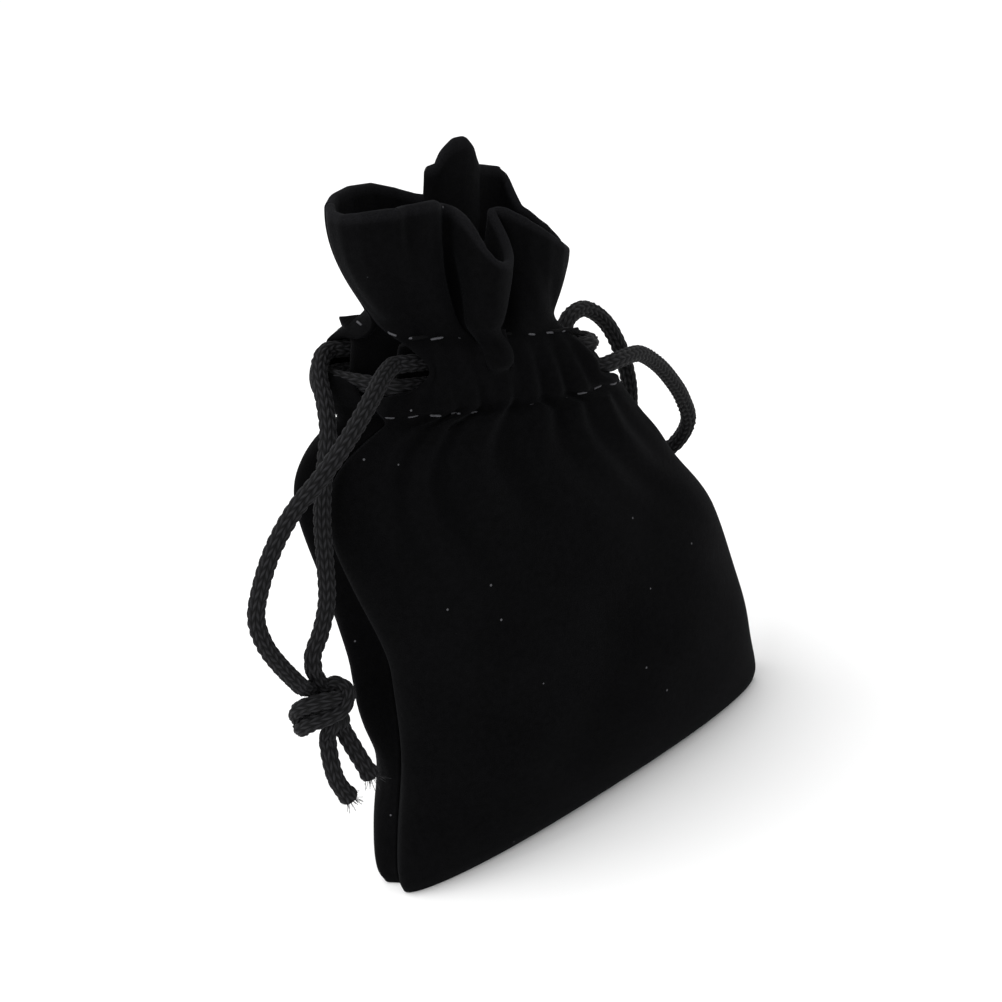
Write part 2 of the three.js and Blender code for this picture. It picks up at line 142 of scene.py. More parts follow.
# The rim of each half of the frill from its left seam to its right seam: a share of the cloth's
# width, then the place.
FRONT_RIM = [
    (0.0, -22.0, 2.2, 119.1), (0.03, -24.0, -1.0, 118.9), (0.08, -24.4, -5.0, 118.9),
    (0.15, -22.6, -8.0, 118.9), (0.22, -19.2, -9.6, 118.4), (0.29, -15.2, -10.2, 117.5),
    (0.35, -11.1, -9.9, 116.7), (0.395, -7.6, -8.4, 115.6), (0.42, -5.4, -5.8, 113.9),
    (0.44, -4.7, -6.8, 113.0), (0.47, -5.4, -10.5, 112.0), (0.5, -5.6, -13.0, 109.8),
    (0.53, -5.2, -14.7, 107.3), (0.555, -3.9, -15.6, 104.9), (0.58, -1.6, -14.8, 103.3),
    (0.605, 1.0, -13.0, 102.5), (0.63, 3.5, -10.2, 103.1), (0.655, 5.3, -7.0, 104.8),
    (0.675, 6.3, -4.2, 106.9), (0.69, 6.9, -2.6, 108.2), (0.72, 8.0, -4.4, 107.6),
    (0.78, 10.6, -6.6, 104.9), (0.85, 13.6, -7.2, 101.8), (0.92, 17.2, -5.9, 98.4),
    (0.97, 20.2, -3.2, 96.0), (1.0, 21.6, -0.3, 95.3),
]
BACK_RIM = [
    (0.0, -22.0, 2.6, 119.1), (0.05, -18.6, 6.0, 118.9), (0.13, -13.4, 9.0, 118.0),
    (0.22, -7.7, 11.0, 116.2), (0.31, -2.4, 11.3, 113.2), (0.36, 0.4, 10.0, 111.4),
    (0.4, 2.6, 8.0, 110.6), (0.42, 2.9, 7.4, 113.5), (0.445, 3.3, 7.0, 116.2),
    (0.475, 5.0, 6.9, 118.0), (0.51, 7.9, 7.3, 118.9), (0.55, 10.4, 8.0, 118.3),
    (0.58, 12.0, 9.0, 116.2), (0.61, 12.9, 10.2, 113.2), (0.645, 14.2, 11.8, 111.4),
    (0.7, 17.2, 12.8, 110.0), (0.75, 20.4, 13.0, 108.5), (0.79, 21.4, 11.6, 106.7),
    (0.83, 20.6, 9.4, 104.2), (0.87, 20.2, 7.6, 101.8), (0.91, 21.8, 6.8, 99.4),
    (0.95, 23.4, 5.4, 97.1), (0.98, 23.2, 2.8, 95.7), (1.0, 21.6, 0.3, 95.3),
]

# Soft folds that run down from the casing: place across the half, height, width, reach.
FRONT_FOLDS = [
    (0.25, 1.0, 0.022, 22), (0.335, 1.5, 0.02, 26), (0.455, 1.7, 0.02, 34),
    (0.56, 1.4, 0.024, 30), (0.66, 1.3, 0.022, 24), (0.77, 1.1, 0.024, 20),
]
BACK_FOLDS = [
    (0.24, 1.2, 0.024, 24), (0.34, 1.5, 0.022, 30), (0.44, 1.3, 0.02, 22),
    (0.53, 1.7, 0.024, 34), (0.64, 1.3, 0.02, 24), (0.75, 1.3, 0.024, 28),
]

BASE_ROWS = 8
BODY_ROWS = 72
CASING_ROWS = 20
FRILL_ROWS = 34
COLUMNS = 201
RIM_ROUNDS = 6  # faces round the frill's rim
PATH_STEP = 0.2  # between two rings of a cord


# ---- Settings ---------------------------------------------------------------------------------
class ClothSettings(bpy.types.PropertyGroup):
    body_cloth: bpy.props.FloatProperty(
        name="Body cloth", description="Thickness of the velvet with its lining",
        default=0.0016, min=0.0008, max=0.0025, unit="LENGTH", precision=4)
    channel_cloth: bpy.props.FloatProperty(
        name="Channel cloth", description="Thickness of the single ply over the cords",
        default=0.0008, min=0.0004, max=0.0012, unit="LENGTH", precision=4)
    fold_height: bpy.props.FloatProperty(
        name="Fold height", description="How strongly the gathered folds stand out",
        default=0.7, min=0.0, max=2.0, subtype="FACTOR")
    pile_colour: bpy.props.FloatVectorProperty(
        name="Pile", description="Colour of the velvet", subtype="COLOR", size=3,
        default=(0.0011, 0.0011, 0.0012), min=0.0, max=1.0)
    rubbed_colour: bpy.props.FloatVectorProperty(
        name="Rubbed pile", description="Colour where the pile is brushed or worn", subtype="COLOR",
        size=3, default=(0.0034, 0.0034, 0.0038), min=0.0, max=1.0)


class CordSettings(bpy.types.PropertyGroup):
    diameter: bpy.props.FloatProperty(
        name="Diameter", description="Diameter of the knitted cord", default=CORD * MM,
        min=0.0015, max=0.005, unit="LENGTH", precision=4)
    stitch_length: bpy.props.FloatProperty(
        name="Stitch length", description="Length of one knitted stitch along the cord",
        default=0.00175, min=0.001, max=0.003, unit="LENGTH", precision=5)
    ribs: bpy.props.IntProperty(
        name="Ribs", description="Columns of knitted stitches round the cord", default=6, min=4, max=12)
    yarn_colour: bpy.props.FloatVectorProperty(
        name="Yarn", description="Colour of the cord's yarn", subtype="COLOR", size=3,
        default=(0.0165, 0.0165, 0.018), min=0.0, max=1.0)


class ThreadSettings(bpy.types.PropertyGroup):
    thickness: bpy.props.FloatProperty(
        name="Thickness", description="Thickness of the sewing thread", default=0.0004,
        min=0.0002, max=0.001, unit="LENGTH", precision=5)
    dash: bpy.props.FloatProperty(
        name="Dash", description="Length of thread that shows in one stitch", default=0.0027,
        min=0.001, max=0.004, unit="LENGTH", precision=5)
    gap: bpy.props.FloatProperty(
        name="Gap", description="Cloth between two stitches", default=0.0012, min=0.0004, max=0.003,
        unit="LENGTH", precision=5)


class StudioSettings(bpy.types.PropertyGroup):
    floor_colour: bpy.props.FloatVectorProperty(
        name="Floor", description="Colour of the studio floor", subtype="COLOR", size=3,
        default=(0.9, 0.9, 0.9), min=0.0, max=1.0)
    surround: bpy.props.FloatProperty(
        name="Surround", description="Brightness of the white surround", default=1.0, min=0.0, max=5.0)
    azimuth: bpy.props.FloatProperty(
        name="Azimuth", description="Camera's turn round the bag", default=math.radians(-34),
        subtype="ANGLE")
    elevation: bpy.props.FloatProperty(
        name="Elevation", description="Camera's height above the horizon", default=math.radians(25),
        subtype="ANGLE")
    distance: bpy.props.FloatProperty(
        name="Distance", description="Camera to the middle of the bag", default=0.45, min=0.1, max=3.0,
        unit="LENGTH")


# ---- Shapes -----------------------------------------------------------------------------------
def at_neck(local):
    """Points given along the neck's own axes, in the frame."""
    return NECK_CENTRE + np.asarray(local, float) @ NECK_AXES


def from_neck(points):
    return (np.asarray(points, float) - NECK_CENTRE) @ NECK_AXES.T


def mix(low, high, share):
    return low + (high - low) * share


def ease(value, low, high):
    share = np.clip((value - low) / (high - low), 0, 1)
    return share * share * (3 - 2 * share)


def rounded(value):
    return np.sign(value) * np.abs(value) ** 0.8


def level_values(share):
    """The rows of BODY_LEVELS between which the share of their count falls, smoothly joined."""
    last = len(BODY_LEVELS) - 1
    place = np.clip(np.asarray(share, float), 0, 1) * last
    low = np.minimum(place.astype(int), last - 1)
    t = (place - low)[:, None]
    before, start, end, after = (
        BODY_LEVELS[np.clip(low + step, 0, last)] for step in (-1, 0, 1, 2)
    )
    rise, fall = (end - before) / 2, (after - start) / 2
    return (
        (2 * start - 2 * end + rise + fall) * t**3
        + (-3 * start + 3 * end - 2 * rise - fall) * t**2
        + rise * t
        + start
    )


def even_path(points, spacing):
    """A smooth line through the points, as points an even distance apart."""
    points = np.asarray(points, float)
    ends = np.vstack([2 * points[0] - points[1], points, 2 * points[-1] - points[-2]])
    line = []
    for before, start, end, after in zip(ends, ends[1:], ends[2:], ends[3:]):
        first, middle, last = (
            max(np.linalg.norm(b - a), 1e-9) ** 0.5
            for a, b in ((before, start), (start, end), (end, after))
        )
        leave = (start - before) / first - (end - before) / (first + middle) + (end - start) / middle
        arrive = (end - start) / middle - (after - start) / (middle + last) + (after - end) / last
        t = np.linspace(0, 1, 25)[:-1, None]
        line.append(
            (2 * t**3 - 3 * t**2 + 1) * start
            + (t**3 - 2 * t**2 + t) * leave * middle
            + (3 * t**2 - 2 * t**3) * end
            + (t**3 - t**2) * arrive * middle
        )
    line = np.vstack([*line, points[-1:]])
    run = np.concatenate([[0], np.cumsum(np.linalg.norm(np.diff(line, axis=0), axis=1))])
    count = max(int(round(run[-1] / spacing)), 4) + 1
    return np.stack([np.interp(np.linspace(0, run[-1], count), run, line[:, k]) for k in range(3)], 1)


def sides_of(path):
    """Two unit directions across the path at each of its points, which don't twist along it."""
    ahead = np.gradient(path, axis=0)
    ahead /= np.linalg.norm(ahead, axis=1)[:, None]
    side = np.cross(ahead[0], (0.31, 0.27, 0.91))
    sides = []
    for direction in ahead:
        side = side - direction * (side @ direction)
        side = side / np.linalg.norm(side)
        sides.append(side)
    sides = np.array(sides)
    return sides, np.cross(ahead, sides), ahead


def grid_faces(rows, columns, start=0, wrap=False):
    """Quads between neighbouring points of a grid that is numbered row by row."""
    across = columns if wrap else columns - 1
    j, i = np.meshgrid(np.arange(rows - 1), np.arange(across), indexing="ij")
    right = (i + 1) % columns
    corners = (j * columns + i, j * columns + right, (j + 1) * columns + right, (j + 1) * columns + i)
    return start + np.stack([corner.ravel() for corner in corners], 1)


def piece(name, points, faces, marks=None):
    """A smooth-shaded object from points in millimetres, with its faces turned outwards."""
    mesh = bpy.data.meshes.new(name)
    mesh.from_pydata((np.asarray(points) * MM).tolist(), [], [list(map(int, face)) for face in faces])
    mesh.validate()
    body = bmesh.new()
    body.from_mesh(mesh)
    bmesh.ops.recalc_face_normals(body, faces=body.faces)
    body.to_mesh(mesh)
    body.free()
    mesh.polygons.foreach_set("use_smooth", [True] * len(mesh.polygons))
    for mark, values in (marks or {}).items():
        mesh.attributes.new(mark, "FLOAT", "POINT").data.foreach_set("value", values.astype(np.float32))
    mesh.update()
    made = bpy.data.objects.new(name, mesh)
    bpy.context.scene.collection.objects.link(made)
    return made


def finished(made, material, slot, *nodes):
    """Gives a piece its material and lets it stand for its CAD nodes; its slot is not used."""
    made.data.materials.clear()
    made.data.materials.append(material)
    if nodes:
        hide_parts(*nodes)
    return made


# ---- Materials --------------------------------------------------------------------------------
class Wire:
    """A node's output, which can be used in sums."""

    def __init__(self, paint, socket):
        self.paint, self.socket = paint, socket

    def _sum(self, operation, *values):
        return self.paint.node("Math", {"operation": operation}, dict(enumerate(values)))

    def __add__(self, other):
        return self._sum("ADD", self, other)

    __radd__ = __add__

    def __sub__(self, other):
        return self._sum("SUBTRACT", self, other)

    def __rsub__(self, other):
        return self._sum("SUBTRACT", other, self)

    def __mul__(self, other):
        return self._sum("MULTIPLY", self, other)

    __rmul__ = __mul__

    def __pow__(self, other):
        return self._sum("POWER", self, other)

    def __gt__(self, other):
        return self._sum("GREATER_THAN", self, other)

    def __lt__(self, other):
        return self._sum("LESS_THAN", self, other)


class Paint:
    """One material and its nodes."""

    def __init__(self, name):
        self.material = bpy.data.materials.new(name)
        self.material.use_nodes = True
        self.tree = self.material.node_tree
        self.shader = next(n for n in self.tree.nodes if n.type == "BSDF_PRINCIPLED")

    def node(self, kind, settings=None, inputs=None, output=0):
        made = self.tree.nodes.new("ShaderNode" + kind)
        for key, value in (settings or {}).items():
            setattr(made, key, value)
        for key, value in (inputs or {}).items():
            self.join(made.inputs[key], value)
        return Wire(self, made.outputs[output])

    def join(self, socket, value):
        if isinstance(value, Wire):
            self.tree.links.new(value.socket, socket)
        else:
            socket.default_value = value

    def mix(self, factor, first, second):
        """Two colours mixed."""
        return self.node("Mix", {"data_type": "RGBA"}, {0: factor, 6: first, 7: second}, 2)

    def noise(self, place, scale, detail=2.0, roughness=0.5):
        return self.node("TexNoise", None, {
            "Vector": place, "Scale": scale, "Detail": detail, "Roughness": roughness})

    def mark(self, name):
        """A value painted on the piece's own points."""
        return self.node("Attribute", {"attribute_name": name}, None, "Fac")

    def surface(self, **values):
        for key, value in values.items():
            self.join(self.shader.inputs[key.replace("_", " ")], value)
        return self.material


def opaque(colour):
    return (*colour, 1.0)


def velvet_material(settings, name="black_velvet"):
    """Short dense pile: nearly black, brushed in soft patches, with lint, a painted highlight along the
    frill's rim and painted shade in the hollows of its folds.
    """
    paint = Paint(name)
    place = paint.node("TexCoord", None, None, "Object")
    pile = paint.noise(place, 4200.0, 3.0, 0.6)
    tufts = paint.noise(place, 900.0, 2.0)
    brushed = paint.noise(place, 55.0, 3.0, 0.55)
    rim_highlight = paint.mark("rim_highlight")
    crease_shade = paint.mark("crease_shade")
    lint_cell = {"Vector": place, "Scale": 230.0, "Randomness": 1.0}
    lint_distance = paint.node("TexVoronoi", None, lint_cell, "Distance")
    lint_pick = paint.node("SeparateColor", None, {
        "Color": paint.node("TexVoronoi", None, lint_cell, "Color")}, "Red")
    lint = (lint_distance < 0.05) * (lint_pick > 0.66)
    rubbed = brushed * 0.7 + tufts * 0.7 - 0.6 + pile * 0.5
    colour = paint.mix(rubbed, opaque(settings.pile_colour), opaque(settings.rubbed_colour))
    # painted shade: the velvet is darkened in the hollows of its folds
    colour = paint.mix(crease_shade * 0.8, colour, (0.0007, 0.0007, 0.0008, 1))
    # painted highlight: the frill's rim and its last rows are lightened, flecked by the pile noise
    colour = paint.mix(rim_highlight * (pile * 0.9 - 0.1), colour, (0.012, 0.012, 0.0135, 1))
    colour = paint.mix(lint, colour, (0.07, 0.07, 0.075, 1))
    bump = paint.node("Bump", None, {
        "Strength": 0.55, "Distance": 0.0002, "Height": pile + tufts * 0.6 + lint * 0.8}, "Normal")
    return paint.surface(
        Base_Color=colour, Roughness=0.95 - brushed * 0.1, Normal=bump, Sheen_Weight=0.014,
        Sheen_Roughness=0.45, Sheen_Tint=(0.75, 0.78, 0.85, 1), Specular_IOR_Level=0.02)


def lining_material():
    """The woven ground on the inner side of the velvet."""
    paint = Paint("woven_lining")
    place = paint.node("TexCoord", None, None, "Object")
    weave = paint.node("TexWave", {"bands_direction": "X"}, {"Vector": place, "Scale": 900.0}, "Fac")
    cross = paint.node("TexWave", {"bands_direction": "Z"}, {"Vector": place, "Scale": 900.0}, "Fac")
    slub = paint.noise(place, 300.0, 2.0)
    height = weave * cross
    colour = paint.mix(height * 0.6 + slub * 0.4, (0.0014, 0.0014, 0.0016, 1), (0.004, 0.004, 0.0045, 1))
    bump = paint.node("Bump", None, {"Strength": 0.4, "Distance": 0.0001, "Height": height}, "Normal")
    return paint.surface(Base_Color=colour, Roughness=0.85, Normal=bump, Sheen_Weight=0.01,
                         Specular_IOR_Level=0.05)


def cord_material(settings):
    """Knitted yarn: paler on the raised legs of each stitch, with painted shade in the hollows between them.
    """
    paint = Paint("knitted_cord")
    place = paint.node("TexCoord", None, None, "Object")
    relief = paint.mark("relief")
    fibre = paint.noise(place, 3600.0, 3.0, 0.65)
    wear = paint.noise(place, 140.0, 2.0)
    yarn = tuple(settings.yarn_colour)
    # painted shade: near-black colour for the hollows between stitches
    hollow = paint.mix(wear, (0.0006, 0.0006, 0.0007, 1), (0.0012, 0.0012, 0.0013, 1))
    raised = paint.mix(fibre * 0.8 + wear * 0.3, opaque([c * 0.55 for c in yarn]),
                       opaque([c * 1.45 for c in yarn]))
    # painted shade where the stitch relief is low
    colour = paint.mix(relief, hollow, raised)
    bump = paint.node("Bump", None, {
        "Strength": 0.5, "Distance": 0.00015, "Height": fibre}, "Normal")
    return paint.surface(Base_Color=colour, Roughness=0.62 + fibre * 0.2, Normal=bump,
                         Sheen_Weight=0.03, Sheen_Roughness=0.4, Specular_IOR_Level=0.08)


def thread_material():
    """Twisted sewing thread that has faded to grey."""
    paint = Paint("sewing_thread")
    place = paint.node("TexCoord", None, None, "Object")
    twist = paint.node("TexWave", {"bands_direction": "DIAGONAL"}, {
        "Vector": place, "Scale": 1300.0, "Distortion": 1.5}, "Fac")
    fade = paint.noise(place, 120.0, 2.0)
    colour = paint.mix(fade * 0.8 + twist * 0.3, (0.012, 0.012, 0.014, 1), (0.075, 0.075, 0.083, 1))
    bump = paint.node("Bump", None, {"Strength": 0.5, "Distance": 0.0001, "Height": twist}, "Normal")
    return paint.surface(Base_Color=colour, Roughness=0.5, Normal=bump, Specular_IOR_Level=0.2)


def floor_material(colour):
    paint = Paint("studio_floor")
    place = paint.node("TexCoord", None, None, "Object")
    grain = paint.noise(place, 40.0, 2.0)
    pale = paint.mix(grain, opaque(colour), opaque([min(c * 1.01, 1.0) for c in colour]))
    return paint.surface(Base_Color=pale, Roughness=0.9, Specular_IOR_Level=0.1)


def shared(name, make, *values):
    """A material that several operators use, made once."""
    return bpy.data.materials.get(name) or make(*values)


# ---- Cords ------------------------------------------------------------------------------------
def knitted_tube(path, settings, width=1.0, flare=0.0):
    """Rings round a path with the relief of knitted stitches, closed at both ends."""
    radius = settings.diameter / MM / 2 * width
    stitch = settings.stitch_length / MM
    steps = settings.ribs * 10
    side, up, ahead = sides_of(path)
    run = np.arange(len(path)) * np.linalg.norm(path[1] - path[0])
    turn = np.arange(steps) / steps
    rib = np.abs((turn * settings.ribs) % 1 - 0.5) * 2
    leg = np.sin(np.pi * rib).clip(0) ** 0.4
    phase = run[:, None] / stitch - 0.9 * rib[None, :]
    stitches = (0.5 + 0.5 * np.cos(2 * np.pi * phase)) ** 1.1
    relief = leg[None, :] * (0.12 + 0.88 * stitches)
    share = np.linspace(0, 1, len(path))[:, None]
    out = radius * (1 + flare * ease(share, 0.8, 1)) * (0.83 + 0.2 * relief)
    angle = 2 * np.pi * turn
    rings = path[:, None] + out[..., None] * (
        np.cos(angle)[None, :, None] * side[:, None] + np.sin(angle)[None, :, None] * up[:, None]
    )
    points = rings.reshape(-1, 3)
    faces = [list(face) for face in grid_faces(len(path), steps, wrap=True)]
    # the stitch relief, which also places the painted shade between stitches
    marks = relief.ravel()
    for row, sign in ((0, -1), (len(path) - 1, 1)):
        first = len(points)
        cap = np.concatenate([
            path[row] + (rings[row] - path[row]) * 0.55 + sign * ahead[row] * radius * 0.35,
            [path[row] + sign * ahead[row] * radius * 0.42],
        ])
        points = np.vstack([points, cap])
        marks = np.concatenate([marks, np.full(steps + 1, 0.3)])
        for i in range(steps):
            j = (i + 1) % steps
            faces.append([row * steps + i, row * steps + j, first + j, first + i])
            faces.append([first + i, first + j, first + steps])
    return points, faces, marks


def tubes_piece(name, tubes):
    """Several tubes as one object."""
    points, faces, marks, count = [], [], [], 0
    for tube_points, tube_faces, tube_marks in tubes:
        points.append(tube_points)
        faces.extend([[corner + count for corner in face] for face in tube_faces])
        marks.append(tube_marks)
        count += len(tube_points)
    return piece(name, np.vstack(points), faces, {"relief": np.concatenate(marks)})


def casing_x(side, along, level):
    """Where a share of a casing's half length lies across the neck, at a level from -1 to 1."""
    half = NECK_HALF + NECK_FLARE * (1 - level) / 2
    return -side * NECK_SHIFT + half * along - NECK_SHIFT * (1 + level) / 2


def channel_end(side, end, height):
    return casing_x(side, end, 2 * height / CHANNEL_HEIGHT)


def strand_points(hand, half):
    """A strand's line from the inside of its channel to its knot, and the point where it leaves its channel.
    """
    end, side = (-1 if hand == "left" else 1), (-1 if half == "front" else 1)
    height = -end * CORD_LEVEL
    mouth = channel_end(side, end, height)
    inside = [
        at_neck((mouth + end * reach, side * STRAND_DEPTH, height))
        for reach in (-PULL_TRAVEL, -PULL_TRAVEL / 2, 0, 0.6, 0.6 + CORD / 2)
    ]
    return [*inside, *map(np.array, STRAND_ROUTES[f"{hand}_{half}"])], inside[2]


def knot_paths(hand):
    """The two strands' lines through an overhand knot, from the loop to the tails."""
    centre = np.array(KNOT_CENTRES[hand], float)
    turn = 1 if hand == "left" else -1
    angle = math.radians(-34)
    right = np.array([math.cos(angle), math.sin(angle), 0])
    back = np.array([-math.sin(angle), math.cos(angle), 0])
    up = np.array([0, 0, 1.0])
    paths = []
    for half, wrap in KNOT_WRAPS.items():
        top = [np.array(point) for point in STRAND_ROUTES[f"{hand}_{half}"][-2:]]
        foot = [np.array(point) for point in TAIL_ROUTES[f"{hand}_{half}"][:2]]
        entry = mix(top[0], top[1], 0.75)
        line = [centre + turn * x * right + y * back + z * up for x, y, z in wrap]
        paths.append(even_path([entry, top[1], *line, foot[0], mix(foot[0], foot[1], 0.3)], 0.22))
    return paths


def frayed_end(path, seed):
    """Loose fibres that stand out of a cut end."""
    dice = random.Random(seed)
    side, up, ahead = (directions[-1] for directions in sides_of(path))
    fibres = []
    for _ in range(34):
        angle, spread = dice.uniform(0, math.tau), dice.uniform(0.2, 1.25)
        out = math.cos(angle) * side + math.sin(angle) * up
        start = path[-1] - ahead * 0.8 + out * spread
        length, lean_out = dice.uniform(1.2, 3.0), dice.uniform(0.1, 0.75)
        bow = dice.uniform(-0.5, 0.5) * np.cross(out, ahead)
        line = [
            start + ahead * length * t + out * lean_out * length * t * t + bow * t * (1 - t)
            for t in (0, 0.35, 0.7, 1)
        ]
        ring = [np.array([math.cos(a), math.sin(a)]) * 0.06 for a in (0, math.tau / 3, 2 * math.tau / 3)]
        rows = np.array([[p + side * x + up * y for x, y in ring] for p in line])
        faces = [list(face) for face in grid_faces(4, 3, wrap=True)] + [[2, 1, 0], [9, 10, 11]]
        fibres.append((rows.reshape(-1, 3), faces, np.full(12, 0.9)))
    return fibres


class DICEBAG_OT_cords(bpy.types.Operator):
    """Knit the four free strands with their knots and tails, and the two cords in the channels"""

    bl_idname = "object.dicebag_cords"
    bl_label = "Cords and knots"

    def execute(self, context):
        settings = context.scene.dicebag_cord
        yarn = shared("knitted_cord", cord_material, settings)
        for hand in ("left", "right"):
            self.add_loop(hand, settings, yarn)
            self.add_run(hand, settings, yarn)
        return {"FINISHED"}

    def add_loop(self, hand, settings, yarn):
        knot = tubes_piece(f"{hand}_overhand_knot", [
            knitted_tube(path, settings, 0.94) for path in knot_paths(hand)])
        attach(finished(knot, yarn, "cord", f"{hand}_knot"), f"{hand}_loop")
        for half in ("front", "back"):
            name = f"{hand}_{half}"
            route = even_path(TAIL_ROUTES[name], PATH_STEP)
            tail = tubes_piece(f"{name}_tail", [
                knitted_tube(route, settings, flare=0.16), *frayed_end(route, name)])
            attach(finished(tail, yarn, "cord", f"{hand}_cord_{half}_tail"), f"{hand}_loop")
            points, mouth = strand_points(hand, half)
            line = even_path(points, PATH_STEP)
            strand = tubes_piece(f"{name}_strand", [knitted_tube(line, settings)])
            finished(strand, yarn, "cord", f"{hand}_cord_{half}_inlet", f"{hand}_cord_{half}_strand")
            end = np.array([math.copysign(1, points[-1][0]), 0, 0]) @ NECK_AXES
            mouth * MM
            (mouth + end * 5) * MM
            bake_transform(strand)
            mouth * MM

    def add_run(self, hand, settings, yarn):
        end = -1 if hand == "left" else 1
        height = -end * CORD_LEVEL

        def half(side):
            inner = channel_end(side, end, height) - end * (PULL_TRAVEL + 0.36)
            mouth = channel_end(side, -end, height)
            return [
                (inner, side * STRAND_DEPTH, height),
                (mix(inner, mouth, 0.4), side * (NECK_DEPTH - 0.2), height),
                (mouth + end * 3, side * STRAND_DEPTH, height),
                (mouth - end * 1.2, side * (STRAND_DEPTH - 0.3), height),
                (mouth - end * CORD, side * (STRAND_DEPTH - 2.4), height),
            ]

        middle = (channel_end(-1, -end, height) + channel_end(1, -end, height)) / 2 - end * CORD * 1.2
        line = at_neck([*half(-1), (middle, 0, height), *half(1)[::-1]])
        run = tubes_piece(f"{hand}_channel_cord", [knitted_tube(even_path(line, PATH_STEP), settings)])
        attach(finished(run, yarn, "cord", f"{hand}_cord_run"), "bag")


# ---- Cloth ------------------------------------------------------------------------------------
END_ZONE = 0.2  # share of each half's width, at each end, that turns in at a channel's mouth
# Each mouth's slot: its middle and half its height in half heights of the channel, and how much of
# the turned-in end it opens.
SLOTS = {
    (-1, -1): (0.2, 0.72, 1.0), (-1, 1): (-0.345, 0.42, 0.85),
    (1, -1): (0.26, 0.42, 0.75), (1, 1): (-0.345, 0.42, 0.85),
}
LEFT_SEAM_Y = -4.0  # the left side seam is drawn this far to the front below the frill
CORNER_STUFFING = 1.8  # how far the lower right corner stands out at the back
# The ends of each casing's face, in shares of its half length, and the side seams at the lower and
# at the upper stitches.
CASING_ENDS = {(-1, -1): -0.8, (-1, 1): 0.82, (1, -1): -0.85, (1, 1): 0.82}
SEAM_X = {-1: (-20.5, -18.9), 1: (24.5, 14.2)}
# How far an end bulges at the lower and at the upper stitches.
END_BULGE = {(-1, -1): (1.3, 0.4), (-1, 1): (3.2, 0.6), (1, -1): (5.4, 0.4), (1, 1): (3.2, 0.6)}
LEFT_HUMP = 3.9  # the back half wraps this far round the cords at the left
# How far the back half stands out at the left and both halves at the right, by height.
LEFT_BACK = (
    [0, 6, 12, 19, 25, 31, 43, 51, 60, 66, 73, 80],
    [0, 0, -0.8, -2, 0.5, 2.6, 3, 1.2, 0.8, 1.4, 3.6, 4.8],
)
RIGHT_SHOULDER = ([0, 45, 53, 60, 67, 73, 77, 80], [0, 0, 1.8, 4.6, 7.2, 8, 7.2, 5.4])
SEAM_SLIT = 0.15  # half the gap between the two halves along their seams
CHANNEL_PLY = 0.8  # the cloth outside a cord channel
TURNED_PLY = 0.5  # the cloth where it turns in at a channel's mouth
NECK_ROUNDING = 1.2  # how much nearer the middle a casing's ends are than its middle
NECK_FULLNESS = 1.7  # how far the body swells under the lower stitches
FRILL_DEPTH = 9.9  # from the side seams out to the middle of the frill's foot
# The front frill's pleats: height, place across the cloth, width, and the end that shows them most.
FRONT_PLEATS = (
    (-0.7, 0.43, 0.016, "foot"), (-1.3, 0.69, 0.025, "foot"),
    (0.7, 0.26, 0.018, "rim"), (-0.5, 0.3, 0.02, "rim"),
)


def bump(values, middle, width):
    """A smooth ridge, 1 high at its middle."""
    return np.exp(-(((values - middle) / width) ** 2))


def smooth_steps(values, turns):
    """Values rounded off from row to row, with the first and the last row kept."""
    for _ in range(turns):
        values = np.concatenate([values[:1], (values[:-2] + 2 * values[1:-1] + values[2:]) / 4, values[-1:]])
    return values


def width_share(side, t):
    """Where a column of the cloth lies across the bag: the frill's folds take more cloth."""
    if side < 0:
        table = ([0, 0.2, 0.41, 0.56, 0.69, 0.85, 1], [0, 0.2, 0.385, 0.44, 0.505, 0.76, 1])
    else:
        table = ([0, 0.2, 0.4, 0.65, 0.8, 1], [0, 0.2, 0.44, 0.66, 0.8, 1])
    return smooth_steps(np.interp(t, *table), 14)


def at_height(table, z):
    """A table's value at a height, rounded off between its rows."""
    return np.interp(np.linspace(z - 4, z + 4, 9), *table).mean()


def body_rows(side, tau):
    angle = np.pi * tau
    rows = []
    shares = np.linspace(0, 1, BODY_ROWS)
    for height, shift, narrowing, filling, closing in level_values(shares):
        half = mix(WIDTH / 2 - 0.7, NECK_HALF + NECK_FLARE + 2.8, narrowing)
        filled = mix(FOOT_DEPTH / 2, BELLY_DEPTH / 2, filling)
        depth = mix(filled, NECK_DEPTH + CHANNEL_DEPTH / 2 + CHANNEL_PLY + NECK_FULLNESS, closing)
        y = side * (SEAM_SLIT + (depth - SEAM_SLIT) * rounded(np.sin(angle)))
        groove = SEAM_GROOVE * bump(y, 0, 2.6)
        x = shift * WIDTH / 2 - (half - groove) * rounded(np.cos(angle))
        z = np.full_like(x, height * HEIGHT)
        if side > 0:
            x = x + CORNER_STUFFING * np.exp(-(((z - 9.5) / 5) ** 2) - ((1 - tau) / 0.07) ** 2)
            out = ease(tau, 0, 0.05) * bump(np.maximum(tau - 0.06, 0), 0, 0.1)
            x = x - out * at_height(LEFT_BACK, z[0])
        x = x + bump(1 - tau, 0, 0.22) * at_height(RIGHT_SHOULDER, z[0])
        y = y + LEFT_SEAM_Y * bump(tau, 0, 0.12) * ease(z, 66, HEIGHT)
        rows.append(lean(np.stack([x, y, z], 1)))
    foot = rows[0]
    seam = np.stack([-foot[-1, 0] * np.cos(angle), np.full_like(angle, side * SEAM_SLIT), foot[:, 2]], 1)
    base = [mix(seam, foot, share) for share in np.linspace(0, 1, BASE_ROWS + 1)[:-1]]
    return [*base, *rows]


def lean(points):
    share = ease(points[:, 2:], HEIGHT * 0.5, HEIGHT)
    local = points.copy()
    local[:, 2] += STITCH_SLANT * points[:, 0] - HEIGHT - FRILL_FOOT
    return mix(points, at_neck(local), share)


